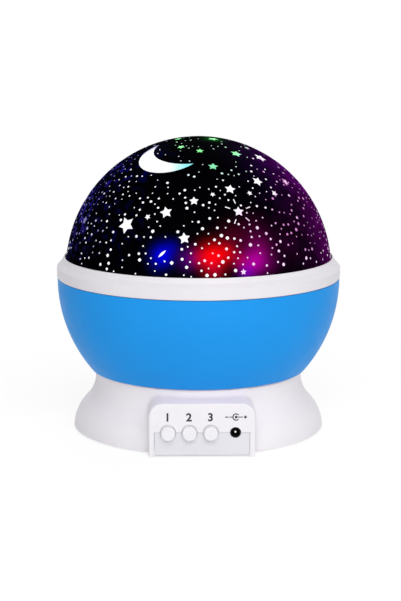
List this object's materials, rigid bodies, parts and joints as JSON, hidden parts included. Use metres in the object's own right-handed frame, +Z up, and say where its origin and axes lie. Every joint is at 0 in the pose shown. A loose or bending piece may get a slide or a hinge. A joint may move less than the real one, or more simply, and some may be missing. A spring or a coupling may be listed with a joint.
{
  "type": "star night light projector",
  "caption": "Round table night light: printed star dome on a bayonet collar, turning bowl with lamps inside, flared base with push buttons and a power inlet.",
  "frame": {"origin": "centre of the base on the surface it stands on, on the bowl's turning axis", "axes": "+Z up along the turning axis; -Y is the front, with the button panel; +X to the right seen from the front"},
  "size_m": [0.13, 0.13, 0.134],
  "materials": {
    "board_green": "glass-epoxy board with green solder mask",
    "board_white": "board with white solder mask",
    "bowl_blue": "moulded ABS, satin sky blue",
    "brass_pin": "plated brass pin",
    "button_white": "moulded ABS, white",
    "capacitor_sleeve": "shrink sleeve over aluminium can",
    "cell_jacket": "plain dark cell jacket",
    "chip_black": "epoxy package",
    "collar_white": "moulded ABS, satin gloss, white",
    "contact_nickel": "nickel-plated sheet",
    "cover_white": "moulded ABS, fine texture, white",
    "dome_print": "clear shell printed glossy black, with clear stars",
    "gear_acetal": "natural acetal",
    "gearbox_grey": "moulded gearbox case",
    "jack_black": "moulded black nylon",
    "lamp_blue_lens": "blue epoxy lens",
    "lamp_green_lens": "green epoxy lens",
    "lamp_red_lens": "red epoxy lens",
    "lamp_white_lens": "water-clear epoxy, warm white",
    "plunger_white": "white nylon plunger",
    "reflector_white": "polished white polystyrene",
    "rubber_grey": "soft rubber, matt",
    "spring_steel": "nickel-plated spring steel",
    "steel": "zinc-plated steel",
    "switch_black": "moulded black switch case",
    "washer_white": "PTFE washer",
    "white_shell": "moulded ABS, fine satin gloss, soft white",
    "wire_black": "PVC sheath",
    "wire_red": "PVC insulation"
  },
  "bodies": {
    "base_unit": {"base_housing": "white_shell", "battery_cell_1": "cell_jacket", "battery_cell_2": "cell_jacket", "battery_cell_3": "cell_jacket", "battery_cell_4": "cell_jacket", "battery_leads": "wire_red", "board_screws": "steel", "bottom_cover": "cover_white", "capacitor": "capacitor_sleeve", "case_screws": "steel", "contact_plates": "contact_nickel", "contact_springs": "spring_steel", "control_board": "board_green", "controller_chip": "chip_black", "dc_jack": "jack_black", "gearbox_case": "gearbox_grey", "jack_pin": "brass_pin", "lamp_blue": "lamp_blue_lens", "lamp_green": "lamp_green_lens", "lamp_red": "lamp_red_lens", "lamp_white": "lamp_white_lens", "light_board": "board_white", "light_board_screws": "steel", "light_cable": "wire_black", "motor_can": "steel", "motor_leads": "wire_red", "motor_screws": "steel", "retaining_ring": "spring_steel", "rubber_feet": "rubber_grey", "spindle": "white_shell", "spindle_screws": "steel", "switch_body_1": "switch_black", "switch_body_2": "switch_black", "switch_body_3": "switch_black", "thrust_washer": "washer_white"},
    "bowl_unit": {"bowl": "bowl_blue", "drive_gear": "gear_acetal", "gear_screws": "steel", "reflector": "reflector_white", "reflector_screws": "steel"},
    "pinion_unit": {"motor_pinion": "gear_acetal", "motor_shaft": "steel"},
    "collar_unit": {"collar_ring": "collar_white"},
    "dome_unit": {"star_dome": "dome_print"},
    "button_unit_1": {"button_1": "button_white", "switch_plunger_1": "plunger_white"},
    "button_unit_2": {"button_2": "button_white", "switch_plunger_2": "plunger_white"},
    "button_unit_3": {"button_3": "button_white", "switch_plunger_3": "plunger_white"},
    "door_unit": {"battery_door": "cover_white"}
  },
  "joints": [
    {"name": "bowl_spin", "type": "hinge", "parent": "base_unit", "child": "bowl_unit", "pos_m": [0, 0, 0.025], "axis": [0, 0, 1], "continuous": true},
    {"name": "pinion_spin", "type": "hinge", "parent": "base_unit", "child": "pinion_unit", "pos_m": [0, -0.026, 0.025], "axis": [0, 0, 1], "continuous": true},
    {"name": "collar_turn", "type": "hinge", "parent": "bowl_unit", "child": "collar_unit", "pos_m": [0, 0, 0.07], "axis": [0, 0, 1], "range_deg": [-18, 0]},
    {"name": "dome_lift", "type": "slide", "parent": "bowl_unit", "child": "dome_unit", "axis": [0, 0, 1], "range_m": [0, 0.07]},
    {"name": "button_1_press", "type": "slide", "parent": "base_unit", "child": "button_unit_1", "axis": [0, 1, 0], "range_m": [0, 0.002], "stiffness_N_per_m": 300, "springref_m": -0.0008},
    {"name": "button_2_press", "type": "slide", "parent": "base_unit", "child": "button_unit_2", "axis": [0, 1, 0], "range_m": [0, 0.002], "stiffness_N_per_m": 300, "springref_m": -0.0008},
    {"name": "button_3_press", "type": "slide", "parent": "base_unit", "child": "button_unit_3", "axis": [0, 1, 0], "range_m": [0, 0.002], "stiffness_N_per_m": 300, "springref_m": -0.0008},
    {"name": "battery_door_hinge", "type": "hinge", "parent": "base_unit", "child": "door_unit", "pos_m": [0, 0.03575, 0.0018], "axis": [1, 0, 0], "range_deg": [0, 80]}
  ],
  "couplings": [
    {"joint": "pinion_spin", "follows": "bowl_spin", "ratio": -3.3333}
  ]
}
